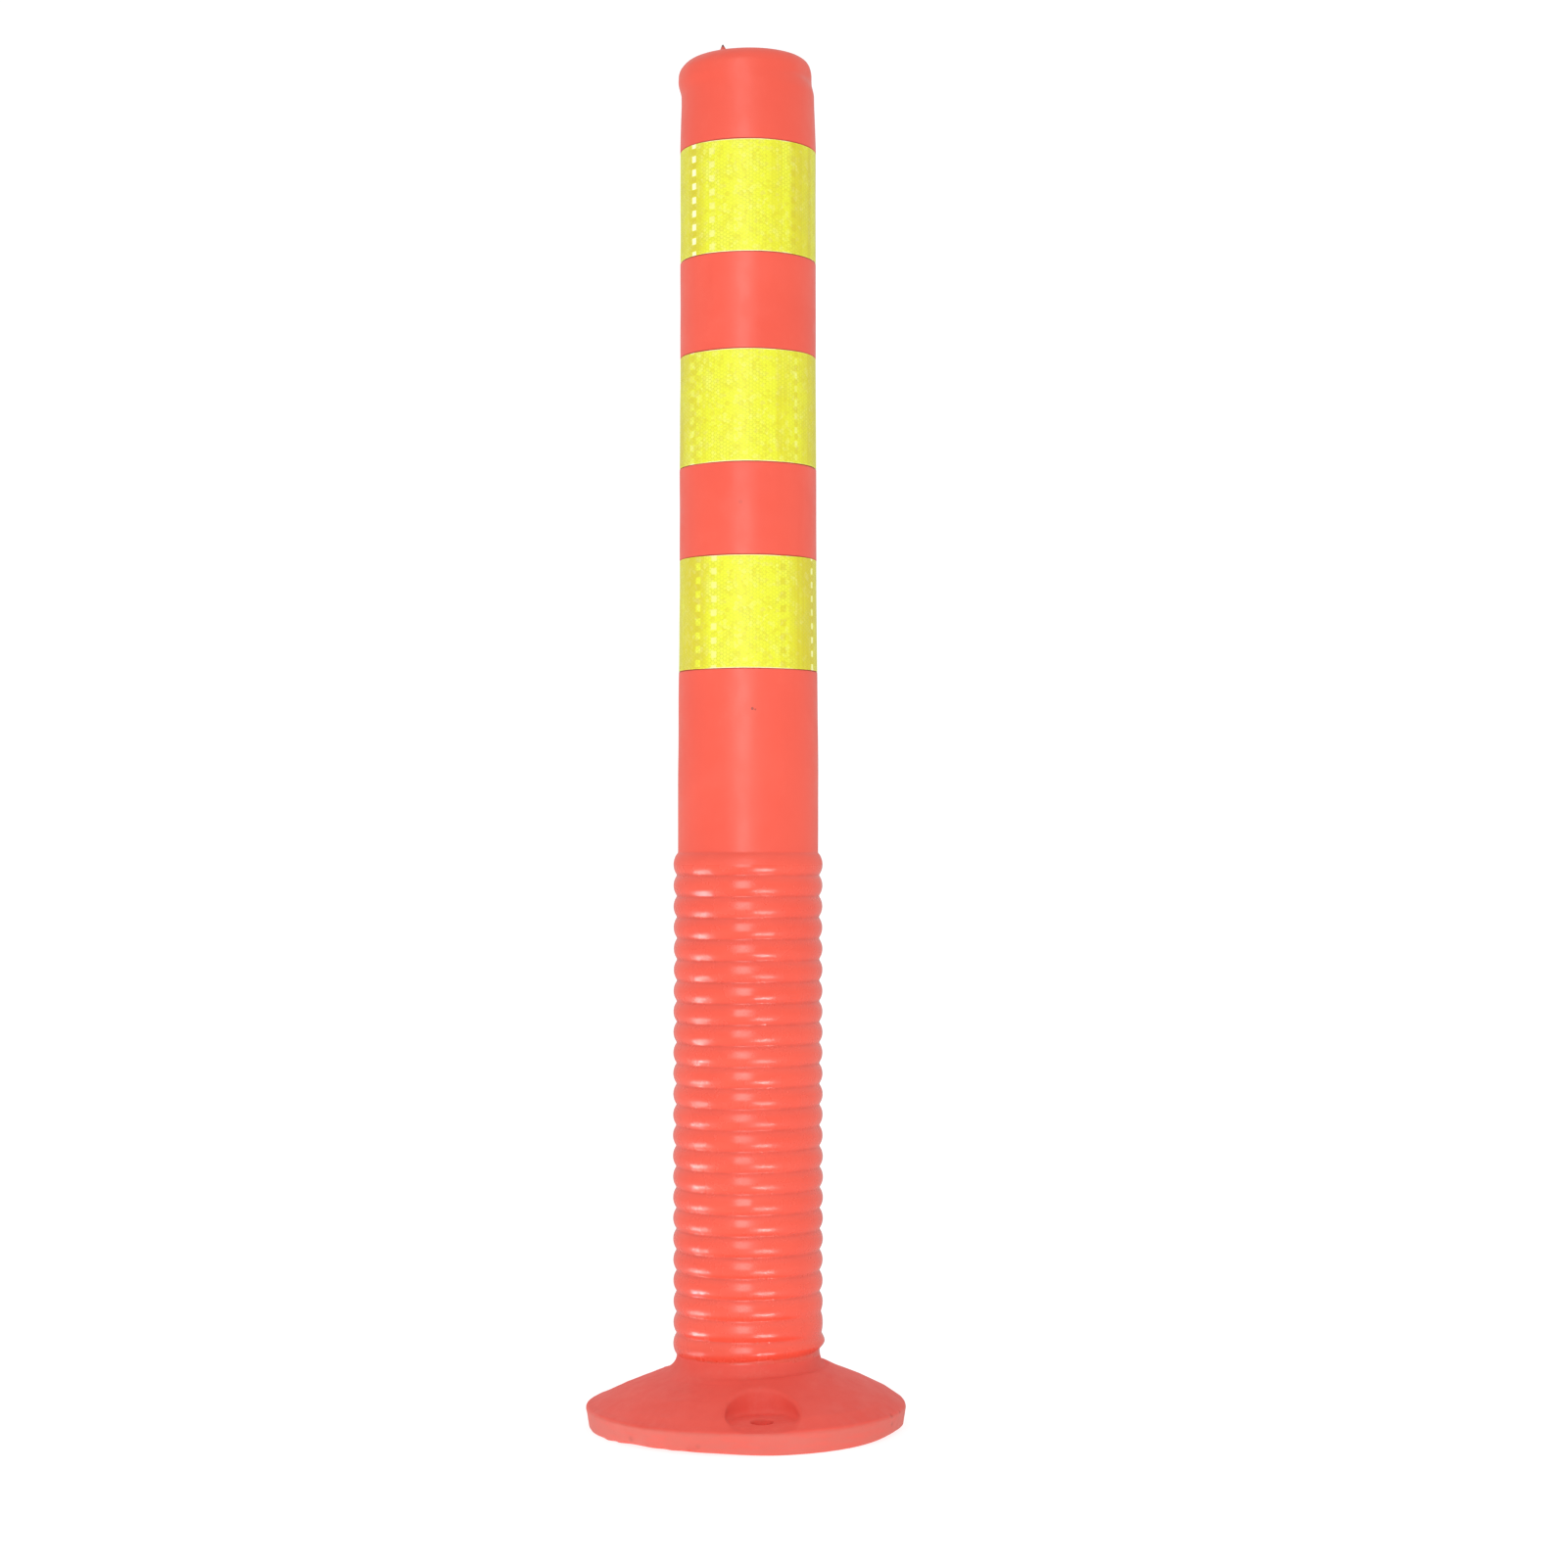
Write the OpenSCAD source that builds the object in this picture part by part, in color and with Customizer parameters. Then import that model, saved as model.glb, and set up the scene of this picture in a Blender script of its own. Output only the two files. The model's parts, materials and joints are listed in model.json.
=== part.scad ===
// Delineator post: a flexible moulded post with a flanged foot and three reflective bands.
// Millimetres, +Z up. The origin is the centre of the flange's underside, on the road surface.
// The front of the post faces -Y. Ribs are numbered from the road upwards.

/* [Post] */
// Overall height, from the road surface to the crown
post_h = 750; // [650:5:1000]
// Outside diameter of the straight part of the tube
tube_d = 75; // [60:0.5:95]
// How much wider the tube is just above the ribs
foot_flare = 1.8; // [0:0.1:3]
// How much narrower the tube is just under its rounded top edge
head_draw = 1.8; // [0:0.1:3]
// Length of straight tube between the ribs and the taper
foot_straight_h = 45; // [20:1:60]
// Length of the taper from the foot of the tube to its straight part
foot_taper_h = 150; // [80:5:180]
// Length of the taper from the straight part to the head
head_taper_h = 24; // [15:1:40]
// Length of the head between its taper and its rounded edge
head_straight_h = 16; // [5:1:30]
// Radius of the rounded edge round the crown
crown_edge_r = 8; // [4:0.5:14]
// Rise of the crown's middle above its rounded edge
crown_rise = 0.8; // [0.2:0.1:2]

/* [Wall] */
// Wall thickness at the foot of the tube
wall_foot_t = 3.9; // [3:0.05:8]
// Wall thickness at the head of the tube
wall_head_t = 3.85; // [3:0.05:8]
// Thickness of the closed crown
crown_t = 5; // [3:0.5:10]
// Chamfer round the mouth of the bore in the underside
mouth_chamfer = 2; // [0.5:0.5:4]

/* [Ribs] */
// Number of ribs in the flexible zone
rib_count = 24; // [16:1:28]
// Height of one rib
rib_pitch = 11.28; // [9:0.02:14]
// How far the valleys stand out from the foot of the tube
valley_step = 0.5; // [0.2:0.1:1.5]
// How far the crests stand out from the valleys
rib_rise = 2; // [1:0.1:3]

/* [Base flange] */
// Diameter of the flange over its rim
flange_d = 175; // [145:1:220]
// Height of the rim
rim_h = 12.5; // [10:0.5:16]
// How far the rim's side leans in towards the road
rim_draft = 1.8; // [0:0.2:3]
// Radius of the rim's upper edge
rim_edge_r = 1.8; // [0.5:0.1:3]
// Slope of the flange's upper face, in degrees
flange_slope = 22.5; // [18:0.5:28]
// Radius of the hollow blend between the flange and the neck
neck_fillet_r = 10; // [6:0.5:14]

/* [Anchor holes] */
// Number of anchor holes
anchor_count = 3; // [2:1:4]
// Distance from the rim in to the middle of an anchor hole
anchor_edge = 15.5; // [12:0.5:20]
// Diameter of each anchor hole
anchor_hole_d = 12; // [9:0.5:15]
// Diameter of the recess for the bolt head and its washer
anchor_recess_d = 38; // [28:0.5:46]
// Height of the recess's floor above the top of the rim
anchor_lip = 1; // [0.5:0.1:3]
// Turn of the first anchor hole from the front of the post, in degrees
anchor_turn = 6.7; // [-60:0.1:60]

/* [Reflective bands] */
// Height of each film
band_h = 61; // [40:1:75]
// Distance from the top of the post to the upper band
band_top_gap = 51.7; // [45:0.1:65]
// Distance between the upper and the middle band
band_upper_gap = 53; // [20:0.5:65]
// Distance between the middle and the lower band
band_lower_gap = 50.7; // [20:0.1:65]
// Thickness of the film
film_t = 0.35; // [0.2:0.01:0.6]
// Thickness of the adhesive behind the film
glue_t = 0.06; // [0.04:0.01:0.1]
// Depth of the film's face below the tube's skin
film_sink = 0.04; // [0:0.02:0.3]
// Clear space between the film's edges and the sides of its recess
film_edge_gap = 0.3; // [0.1:0.1:1]

/* [Hidden] */
$fn = 96;
OVERCUT = 1;
ARC_STEPS = 8;
MIN_EDGE_R = 1;
FLANGE_RED = [0.85, 0.37, 0.35];
RIB_REDS = [[0.97, 0.41, 0.35], [0.93, 0.38, 0.32]];
TUBE_RED = [0.98, 0.40, 0.33];
FILM_YELLOW = [0.93, 0.93, 0.35];

// Radii of the tube, its bore, the ribs and the flange
tube_r = tube_d / 2;
tube_foot_r = tube_r + foot_flare / 2;
tube_head_r = tube_r - head_draw / 2;
bore_foot_r = tube_foot_r - wall_foot_t;
bore_head_r = tube_head_r - wall_head_t;
valley_r = tube_foot_r + valley_step;
crest_r = valley_r + rib_rise;
flange_r = flange_d / 2;

// Heights of the flexible zone
neck_z = rim_h
    + tan(flange_slope) * (flange_r - valley_r - neck_fillet_r)
    + neck_fillet_r / cos(flange_slope);
ribs_top_z = neck_z + rib_count * rib_pitch;

// Radius of a rib's section, an arc through both of its valleys and over its crest
rib_arc_r = (pow(rib_pitch / 2, 2) + pow(rib_rise, 2)) / (2 * rib_rise);

// Anchor holes, measured from the rim
anchor_circle_r = flange_r - anchor_edge;
anchor_floor_z = rim_h + anchor_lip;

// Underside of each band, counted from the top of the post
upper_band_z = post_h - band_top_gap - band_h;
middle_band_z = upper_band_z - band_upper_gap - band_h;
lower_band_z = middle_band_z - band_lower_gap - band_h;

// Outer skin of the tube as [height, radius] at each change of taper
head_z = post_h - crown_rise - crown_edge_r;
shoulder_z = head_z - head_straight_h - head_taper_h;
SKIN = [
    [ribs_top_z, tube_foot_r],
    [ribs_top_z + foot_straight_h, tube_foot_r],
    [ribs_top_z + foot_straight_h + foot_taper_h, tube_r],
    [shoulder_z, tube_r],
    [shoulder_z + head_taper_h, tube_head_r],
    [head_z, tube_head_r]
];

function skin_r(z) = lookup(z, SKIN);

// Points of the skin from z0 up to z1, moved towards the axis by inset
function skin_path(z0, z1, inset) = concat(
    [[skin_r(z0) - inset, z0]],
    [for (k = SKIN) if (k[0] > z0 && k[0] < z1) [k[1] - inset, k[0]]],
    [[skin_r(z1) - inset, z1]]
);

// Points on an arc about [x, z], from angle a0 to angle a1
function arc(x, z, r, a0, a1) = [
    for (i = [0:ARC_STEPS]) let (a = a0 + (a1 - a0) * i / ARC_STEPS)
        [x + r * cos(a), z + r * sin(a)]
];

// A list in reverse order
function reversed(list) = [for (i = [len(list) - 1:-1:0]) list[i]];

function rib_name(i) = str("rib_", i < 10 ? "0" : "", i);

// ---------- base flange ----------

// Half section of the flange: underside, rim, sloping face and hollow neck
module flange_section() {
    rim_x = flange_r - rim_edge_r;
    rim_z = rim_h - rim_edge_r * (1 / cos(flange_slope) - tan(flange_slope));
    blend_x = valley_r + neck_fillet_r;
    polygon(concat(
        [[bore_foot_r + mouth_chamfer, 0], [flange_r - rim_draft, 0]],
        arc(rim_x, rim_z, rim_edge_r, 0, 90 - flange_slope),
        arc(blend_x, neck_z, neck_fillet_r, 270 - flange_slope, 180),
        [[bore_foot_r, neck_z], [bore_foot_r, mouth_chamfer]]
    ));
}

// One anchor hole with the recess above it, on its own axis
module anchor_cut() {
    translate([0, 0, -OVERCUT]) cylinder(d = anchor_hole_d, h = anchor_floor_z + 2 * OVERCUT);
    translate([0, 0, anchor_floor_z]) cylinder(d = anchor_recess_d, h = neck_z);
}

module base_flange() {
    color(FLANGE_RED)
        difference() {
            rotate_extrude() flange_section();
            for (i = [0:anchor_count - 1])
                rotate([0, 0, anchor_turn - 90 + i * 360 / anchor_count])
                    translate([anchor_circle_r, 0, 0]) anchor_cut();
        }
}

// ---------- flexible zone ----------

// Rib number i: a ring whose outside is one arc from valley to valley
module rib(i) {
    color(RIB_REDS[i % 2])
        translate([0, 0, neck_z + (i - 1) * rib_pitch])
            rotate_extrude()
                intersection() {
                    translate([bore_foot_r, 0]) square([crest_r, rib_pitch]);
                    translate([crest_r - rib_arc_r, rib_pitch / 2]) circle(r = rib_arc_r);
                }
}

// ---------- upper tube ----------

// Half section of the tube's outside, with its rounded top edge and low crown
module tube_section() {
    edge_x = tube_head_r - crown_edge_r;
    polygon(concat(
        [[0, ribs_top_z]],
        skin_path(ribs_top_z, head_z, 0),
        arc(edge_x, head_z, crown_edge_r, 0, 90),
        [[edge_x / 2, post_h - crown_rise / 4], [0, post_h]]
    ));
}

// Half section of the blind bore, narrowing from the ribs to the head
module bore_section() {
    bore_top_z = post_h - crown_t;
    edge_r = max(crown_edge_r - wall_head_t, MIN_EDGE_R);
    polygon(concat(
        [[0, ribs_top_z - OVERCUT], [bore_foot_r, ribs_top_z - OVERCUT], [bore_foot_r, ribs_top_z]],
        arc(bore_head_r - edge_r, bore_top_z - edge_r, edge_r, 0, 90),
        [[0, bore_top_z]]
    ));
}

// Ring cut out of the skin so that a film lies flush; z0 is the film's lower edge
module film_recess(z0) {
    depth = film_sink + film_t + glue_t;
    bottom = z0 - film_edge_gap;
    top = z0 + band_h + film_edge_gap;
    rotate_extrude()
        polygon(concat(
            skin_path(bottom, top, depth),
            [[skin_r(top) + OVERCUT, top], [skin_r(bottom) + OVERCUT, bottom]]
        ));
}

module upper_tube() {
    color(TUBE_RED)
        difference() {
            rotate_extrude() tube_section();
            rotate_extrude() bore_section();
            film_recess(lower_band_z);
            film_recess(middle_band_z);
            film_recess(upper_band_z);
        }
}

// ---------- reflective bands ----------

// A film wrapped round the tube; z0 is its lower edge
module film(z0) {
    color(FILM_YELLOW)
        rotate_extrude()
            polygon(concat(
                skin_path(z0, z0 + band_h, film_sink),
                reversed(skin_path(z0, z0 + band_h, film_sink + film_t))
            ));
}

module reflective_band_lower() { film(lower_band_z); }
module reflective_band_middle() { film(middle_band_z); }
module reflective_band_upper() { film(upper_band_z); }

base_flange();
for (i = [1:rib_count])
    rib(i);
upper_tube();
reflective_band_lower();
reflective_band_middle();
reflective_band_upper();
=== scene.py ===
"""Flexible delineator post: a moulded flange, a ribbed bending zone, a closed tube and three reflective films.

Lengths are in metres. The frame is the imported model's own: +Z up, the post's front towards -Y and the
road at z = 0. The moulding is one continuous skin, so the flange, the folds and the tube share one outline
and one unevenness, and they meet in rings that are exactly the same.
"""

import json
import logging
import math
from dataclasses import dataclass, field
from enum import Enum
from typing import Optional, Sequence

import bmesh
import bpy
import numpy as np
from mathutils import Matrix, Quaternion, Vector


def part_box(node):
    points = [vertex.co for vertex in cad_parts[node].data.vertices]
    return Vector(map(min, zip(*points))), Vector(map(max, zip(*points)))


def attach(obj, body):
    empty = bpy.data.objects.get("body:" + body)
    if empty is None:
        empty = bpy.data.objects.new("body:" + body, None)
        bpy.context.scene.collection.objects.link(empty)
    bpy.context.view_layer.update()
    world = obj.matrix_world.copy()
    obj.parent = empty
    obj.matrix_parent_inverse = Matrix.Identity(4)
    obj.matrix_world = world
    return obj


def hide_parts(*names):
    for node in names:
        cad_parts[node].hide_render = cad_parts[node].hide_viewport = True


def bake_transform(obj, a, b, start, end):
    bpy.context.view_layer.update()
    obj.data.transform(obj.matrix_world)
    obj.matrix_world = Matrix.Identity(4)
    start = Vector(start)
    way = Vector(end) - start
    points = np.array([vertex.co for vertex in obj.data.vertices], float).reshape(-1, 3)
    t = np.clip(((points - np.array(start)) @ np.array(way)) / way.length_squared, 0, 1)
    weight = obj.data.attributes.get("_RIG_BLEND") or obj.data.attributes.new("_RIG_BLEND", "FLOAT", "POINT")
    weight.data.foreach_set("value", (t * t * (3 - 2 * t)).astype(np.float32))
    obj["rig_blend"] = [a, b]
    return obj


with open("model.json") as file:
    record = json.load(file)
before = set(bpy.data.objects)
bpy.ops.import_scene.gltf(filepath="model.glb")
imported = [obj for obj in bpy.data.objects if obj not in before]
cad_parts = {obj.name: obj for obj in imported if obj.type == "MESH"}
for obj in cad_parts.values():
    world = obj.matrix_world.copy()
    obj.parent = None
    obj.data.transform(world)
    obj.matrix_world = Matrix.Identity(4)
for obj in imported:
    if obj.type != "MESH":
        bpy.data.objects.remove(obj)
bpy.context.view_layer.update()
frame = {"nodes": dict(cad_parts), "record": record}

MM = 0.001
REST = "rest_place"
UNROLLED = "unrolled"
# Film tone per vertex, with painted shade at the flanks and painted glints up the tile columns.
TONE_AND_GLINTS = "tone_and_painted_glints"
# Share per vertex of painted shade at the films' groove edges, and of darker marks on the flange.
SHADE_AND_MARKS = "edge_shade_and_marks"
SCUFF = "rim_scuff"
SEAM_STRIP = 0.06 * MM
SWELL_RADII = (0.48, 0.50, 0.54, 0.59, 0.66, 0.75, 0.83, 0.90, 0.95, 0.98, 1.0)
SWELL_RIGHT = (2.6, 3.0, 3.0, 2.9, 3.1, 3.0, 2.4, 2.1, 0.9, 0.2, 0.0)
SWELL_LEFT = (0.0, -0.2, -0.6, -0.2, 0.5, 0.9, 0.3, -0.2, -1.1, -1.0, -0.7)
log = logging.getLogger("delineator_post")


class Slot(Enum):
    """The record's material slots."""

    FLANGE = "flange_skin"
    RIB = "rib_skin"
    TUBE = "tube_skin"
    FILM = "reflective_film"


class Side(Enum):
    """Which way a turned skin faces."""

    OUTSIDE = 1
    INSIDE = -1


# ---------------------------------------------------------------- shared curves


def smooth_step(t: np.ndarray) -> np.ndarray:
    """Eases from 0 to 1 as t goes from 0 to 1."""
    t = np.clip(t, 0.0, 1.0)
    return t * t * (3.0 - 2.0 * t)


def bell(d: np.ndarray, width: float) -> np.ndarray:
    """A smooth hump of height 1 at d = 0."""
    return np.exp(-((d / width) ** 2))


def round_max(a: np.ndarray, b: np.ndarray, radius: float) -> np.ndarray:
    """The larger of two distances, with the corner between them rounded.

    Args:
        a: First distance, positive outside the solid.
        b: Second distance, positive outside the solid.
        radius: Radius of the rounded corner.

    Returns:
        The distance to the solid that both distances bound.
    """
    inside = np.minimum(np.maximum(a, b), -radius)
    return inside + np.hypot(np.maximum(a + radius, 0.0), np.maximum(b + radius, 0.0))


@dataclass(frozen=True)
class Ripple:
    """Smooth seeded unevenness, as of a casting that cooled a little unevenly."""

    seed: int
    wavelength: float
    waves: int = 14

    def at(self, places: np.ndarray) -> np.ndarray:
        """Reads the unevenness at some places.

        Args:
            places: Points as rows of x, y and z.

        Returns:
            One value for each point, mostly between -1 and 1.
        """
        draw = np.random.default_rng(self.seed)
        total = np.zeros(len(places))
        for _ in range(self.waves):
            way = draw.normal(size=3)
            way /= np.linalg.norm(way)
            length = self.wavelength * draw.uniform(0.7, 1.6)
            phase = draw.uniform(0.0, math.tau)
            total += np.sin(places @ way * math.tau / length + phase)
        return total / math.sqrt(self.waves)


# ---------------------------------------------------------------- sizes from the frame


def ring_radii(node: str, height: float, reach: float = 0.05 * MM) -> tuple[float, float]:
    """Inner and outer radius of a turned CAD node at one height.

    Args:
        node: Name of the CAD node.
        height: Height of a ring of its vertices.
        reach: How far from that height a vertex may be.

    Returns:
        The smallest and the largest radius found there.
    """
    co = np.array([v.co for v in frame["nodes"][node].data.vertices], float)
    near = co[np.abs(co[:, 2] - height) < reach]
    radii = np.hypot(near[:, 0], near[:, 1])
    return float(radii.min()), float(radii.max())


@dataclass(frozen=True)
class PostSizes:
    """The moulding's main sizes, measured on the CAD nodes."""

    rib_count: int
    neck_z: float
    pitch: float
    ribs_top: float
    crest_r: float
    valley_r: float
    bore_r: float
    flange_r: float
    height: float
    skin: tuple[tuple[float, float], ...]

    @classmethod
    def from_frame(cls) -> "PostSizes":
        """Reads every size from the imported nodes."""
        ribs = sorted(n for n in frame["nodes"] if n.startswith("rib_"))
        low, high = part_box(ribs[0])
        tube_low, tube_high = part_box("upper_tube")
        co = np.array([v.co for v in frame["nodes"]["upper_tube"].data.vertices], float)
        radii = np.hypot(co[:, 0], co[:, 1])
        knots: dict[float, float] = {}
        bands = [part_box(n) for n in sorted(frame["nodes"]) if n.startswith("reflective_band")]
        for z, r in zip(np.round(co[:, 2], 5), radii):
            if not any(b_low.z - 0.2 * MM < z < b_high.z + 0.2 * MM for b_low, b_high in bands):
                knots[float(z)] = max(knots.get(float(z), 0.0), float(r))
        head_z = max(z for z, r in knots.items() if r > 0.95 * radii.max())
        skin = tuple(sorted((z, r) for z, r in knots.items() if r > 0.94 * radii.max() and z <= head_z))
        bore_r, valley_r = ring_radii(ribs[0], low.z)
        return cls(
            rib_count=len(ribs),
            neck_z=low.z,
            pitch=high.z - low.z,
            ribs_top=tube_low.z,
            crest_r=high.x,
            valley_r=valley_r,
            bore_r=bore_r,
            flange_r=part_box("base_flange")[1].x,
            height=tube_high.z,
            skin=skin,
        )

    def crest(self, k: int) -> float:
        """Height of crest number k, where crest 0 lies in the neck below the first rib."""
        return self.neck_z + (k - 0.5) * self.pitch

    def valley(self, k: int) -> float:
        """Height of the valley under rib number k."""
        return self.neck_z + (k - 1) * self.pitch


# ---------------------------------------------------------------- the moulding's outline


@dataclass
class Outline:
    """The moulding's outside as a radius for each height, and its unevenness."""

    sizes: PostSizes
    neck_fillet_r: float = 10.0 * MM
    valley_ease: float = 0.42 * MM
    edge_r: float = 8.0 * MM
    top_rib_stretch: float = 0.6 * MM
    top_rib_lift: float = 1.3 * MM
    ease_taps: int = 9
    sag: Ripple = field(default_factory=lambda: Ripple(seed=11, wavelength=95 * MM))
    wobble: Ripple = field(default_factory=lambda: Ripple(seed=23, wavelength=26 * MM))

    def _sharp_radius(self, z: np.ndarray) -> np.ndarray:
        """Radius at each height before the valleys are eased.

        Args:
            z: Heights above the road.

        Returns:
            One radius for each height.
        """
        s = self.sizes
        rise = s.crest_r - s.valley_r
        arc_r = ((s.pitch / 2) ** 2 + rise**2) / (2 * rise)
        from_crest = np.abs((z - s.neck_z) / s.pitch % 1.0 - 0.5) * s.pitch
        last_crest, last_half = s.crest(s.rib_count), s.pitch / 2 + self.top_rib_stretch
        above_crest = (z - last_crest) * (s.pitch / 2) / last_half
        from_crest = np.where(z > last_crest, np.minimum(above_crest, s.pitch / 2), from_crest)
        ribs = s.crest_r - arc_r + np.sqrt(arc_r**2 - from_crest**2)
        below = np.clip(s.neck_z - z, 0.0, self.neck_fillet_r)
        neck = s.valley_r + self.neck_fillet_r - np.sqrt(self.neck_fillet_r**2 - below**2)
        heights, radii = zip(*self.sizes.skin)
        tube = np.interp(z, heights, radii)
        return np.where(z < s.neck_z, neck, np.where(z < s.ribs_top + self.top_rib_stretch, ribs, tube))

    def radius(self, z: np.ndarray) -> np.ndarray:
        """Radius of the outer skin at each height, with every valley a little rounded.

        Args:
            z: Heights above the road.

        Returns:
            One radius for each height.
        """
        z = np.atleast_1d(np.asarray(z, float))
        steps = np.linspace(-2.2, 2.2, self.ease_taps)
        weights = np.exp(-(steps**2) / 2)
        weights /= weights.sum()
        return sum(w * self._sharp_radius(z + t * self.valley_ease) for t, w in zip(steps, weights))

    def lift(self, z: np.ndarray) -> np.ndarray:
        """How far each height is drawn upwards towards the top of the ribs, where the mould was pulled.

        Args:
            z: Heights above the road.

        Returns:
            One rise for each height.
        """
        top = self.sizes.ribs_top
        begins = smooth_step((z - 0.74 * top) / (0.24 * top))
        fades = 1.0 - smooth_step((z - 1.02 * top) / (0.12 * top))
        return self.top_rib_lift * begins * fades

    def settle(self, places: np.ndarray) -> np.ndarray:
        """Moves points of the ideal moulding to where the real casting has them.

        The lowest ribs are pressed together a little on the right, the head sits a little to the left over the
        tube, and its right shoulder has a shallow dent.

        Args:
            places: Points of the ideal moulding as rows of x, y and z.

        Returns:
            The moved points.
        """
        s = self.sizes
        out = places.copy()
        x, y, z = places.T
        r = np.maximum(np.hypot(x, y), 1e-6)
        away = np.stack([x / r, y / r, np.zeros_like(r)], axis=1)
        skin = smooth_step((r - s.bore_r) / (2.0 * MM))
        above_foot = smooth_step((z - 0.6 * s.neck_z) / (0.4 * s.neck_z))
        below_crown = 1.0 - 0.7 * smooth_step((z - (s.height - 6 * MM)) / (5 * MM))
        waves = 0.16 * MM * self.sag.at(places) + 0.05 * MM * self.wobble.at(places)
        radial = waves * above_foot * below_crown

        right = smooth_step((x / r - 0.45) / 0.5)
        pressed = self._sharp_radius(z) - s.crest_r
        slack = bell(z - s.valley(2) - 0.45 * s.pitch, 9.5 * MM)
        radial += -0.62 * pressed * right * slack
        radial += 1.1 * MM * right * bell(z - s.crest(1), 5.0 * MM)

        turn = np.arctan2(y, x)
        dent = bell(turn - math.radians(-22), 0.24) * bell(z - (s.height - 9.5 * MM), 3.4 * MM)
        crease = bell(turn - math.radians(-30), 0.30) * bell(z - (s.height - 12.0 * MM), 1.5 * MM)
        radial -= 1.0 * MM * dent + 0.35 * MM * crease
        lip = bell(np.abs(turn) - math.pi, 0.9) * bell(z - (s.height - 11.0 * MM), 4.5 * MM)
        radial += 0.40 * MM * lip
        out += away * (radial * skin)[:, None]

        head = smooth_step((z - (s.height - 20 * MM)) / (8 * MM))
        foot = 1.0 - smooth_step((z - 0.5 * s.neck_z) / (0.5 * s.neck_z))
        out[:, 0] += -1.25 * MM * head - 1.0 * MM * foot
        neck = bell(z - s.neck_z, 6.5 * MM) * smooth_step((r - 20 * MM) / (10 * MM))
        out[:, 2] += (1.3 + 1.7 * np.clip(x / s.valley_r, -1.0, 1.0)) * MM * neck
        shoulder = smooth_step((z - (s.height - 11 * MM)) / (8 * MM))
        out[:, 2] += (0.8 * MM + 0.55 * MM * x / (28 * MM)) * shoulder
        out[:, 2] += self.lift(z)
        share = 0.5 + 0.5 * x / r
        right = np.interp(r / s.flange_r, SWELL_RADII, SWELL_RIGHT)
        left = np.interp(r / s.flange_r, SWELL_RADII, SWELL_LEFT)
        beyond_neck = smooth_step((r - s.valley_r - 1.5 * MM) / (5 * MM))
        on_face = smooth_step((z - 7 * MM) / (5 * MM)) * (z < s.neck_z)
        out[:, 2] += (right * share + left * (1.0 - share)) * MM * beyond_neck * on_face
        return out


# ---------------------------------------------------------------- mesh making


def store_vectors(mesh: bpy.types.Mesh, name: str, values: np.ndarray) -> None:
    """Keeps a vector for each vertex under a name that the materials read."""
    layer = mesh.attributes.new(name, "FLOAT_VECTOR", "POINT")
    layer.data.foreach_set("vector", values.astype(np.float32).ravel())


def store_numbers(mesh: bpy.types.Mesh, name: str, values: np.ndarray) -> None:
    """Keeps a number for each vertex under a name that the materials read."""
    layer = mesh.attributes.new(name, "FLOAT", "POINT")
    layer.data.foreach_set("value", values.astype(np.float32).ravel())


def mesh_object(name: str, places: np.ndarray, faces: Sequence[Sequence[int]]) -> bpy.types.Object:
    """Makes a smooth mesh object and links it to the scene.

    Args:
        name: Name of the piece.
        places: Vertices as rows of x, y and z.
        faces: Vertex numbers of each face.

    Returns:
        The new object, with its rest places stored for the materials.
    """
    mesh = bpy.data.meshes.new(name)
    mesh.from_pydata(places.tolist(), [], [tuple(f) for f in faces])
    mesh.validate()
    mesh.polygons.foreach_set("use_smooth", [True] * len(mesh.polygons))
    store_vectors(mesh, REST, places)
    obj = bpy.data.objects.new(name, mesh)
    bpy.context.scene.collection.objects.link(obj)
    return obj


def grid_faces(rows: int, columns: int, first: int, side: Side, closed: bool = True) -> list[tuple[int, ...]]:
    """Quads over a grid of vertices.

    Args:
        rows: Number of rows of vertices.
        columns: Number of vertices in a row.
        first: Number of the grid's first vertex.
        side: Which way the faces look.
        closed: Whether each row joins up into a ring.

    Returns:
        The faces as tuples of vertex numbers.
    """
    faces = []
    last = columns if closed else columns - 1
    for i in range(rows - 1):
        for j in range(last):
            a = first + i * columns + j
            b = first + i * columns + (j + 1) % columns
            quad = (a, b, b + columns, a + columns)
            faces.append(quad if side is Side.OUTSIDE else quad[::-1])
    return faces


def turned(section: Sequence[tuple[float, float]], columns: int) -> np.ndarray:
    """Points of a section of (radius, height) pairs turned about the post's axis.

    Args:
        section: Pairs of radius and height.
        columns: How many places there are round the axis.

    Returns:
        The points as rows of x, y and z, ring by ring.
    """
    angles = np.arange(columns) * math.tau / columns
    pairs = np.asarray(section, float)
    ring = np.stack([np.cos(angles), np.sin(angles)], axis=1)
    flat = pairs[:, 0][:, None, None] * ring[None]
    tall = np.broadcast_to(pairs[:, 1][:, None, None], (len(pairs), columns, 1))
    return np.concatenate([flat, tall], axis=2).reshape(-1, 3)


# ---------------------------------------------------------------- material building


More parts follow.
